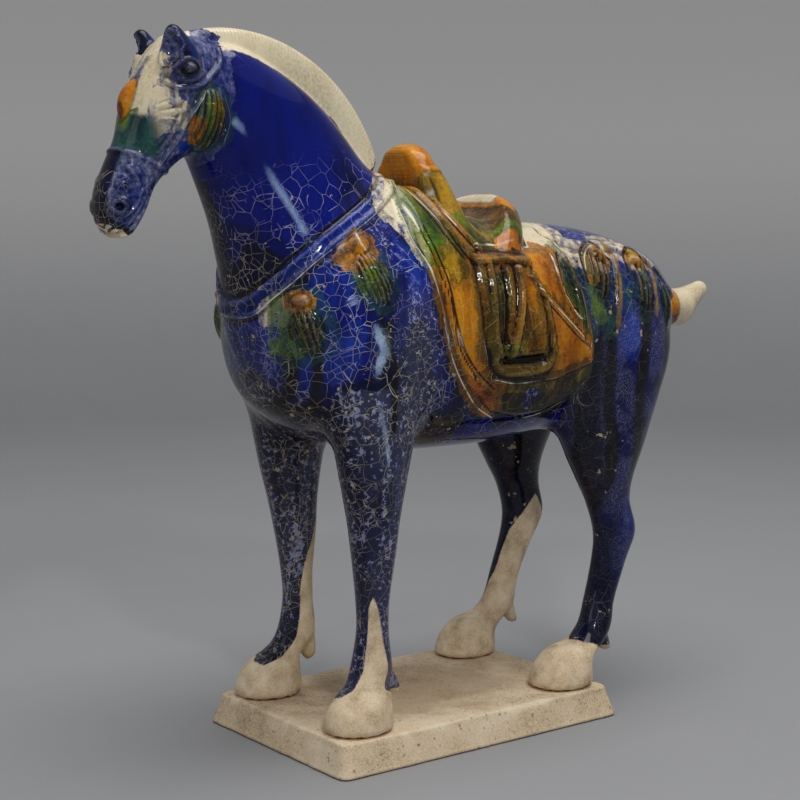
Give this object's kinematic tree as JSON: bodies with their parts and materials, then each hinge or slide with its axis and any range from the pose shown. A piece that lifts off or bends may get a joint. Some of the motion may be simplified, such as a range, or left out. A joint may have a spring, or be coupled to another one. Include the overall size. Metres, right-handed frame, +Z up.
{
  "type": "chinese tomb horse",
  "caption": "Standing saddled horse in glazed earthenware on a plain clay slab, an ornament that rests on its flat underside.",
  "frame": {"origin": "middle of the plinth's underside", "axes": "the horse faces -Y, its left flank is towards +X, and +Z is up"},
  "size_m": [0.1254, 0.3826, 0.34],
  "materials": {
    "glaze": "glossy crackled lead glaze, blue with amber, green and cream",
    "clay": "bare fired buff clay, matte and fine-grained"
  },
  "bodies": {
    "root": {"horse": "glaze", "plinth": "clay"}
  },
  "joints": []
}
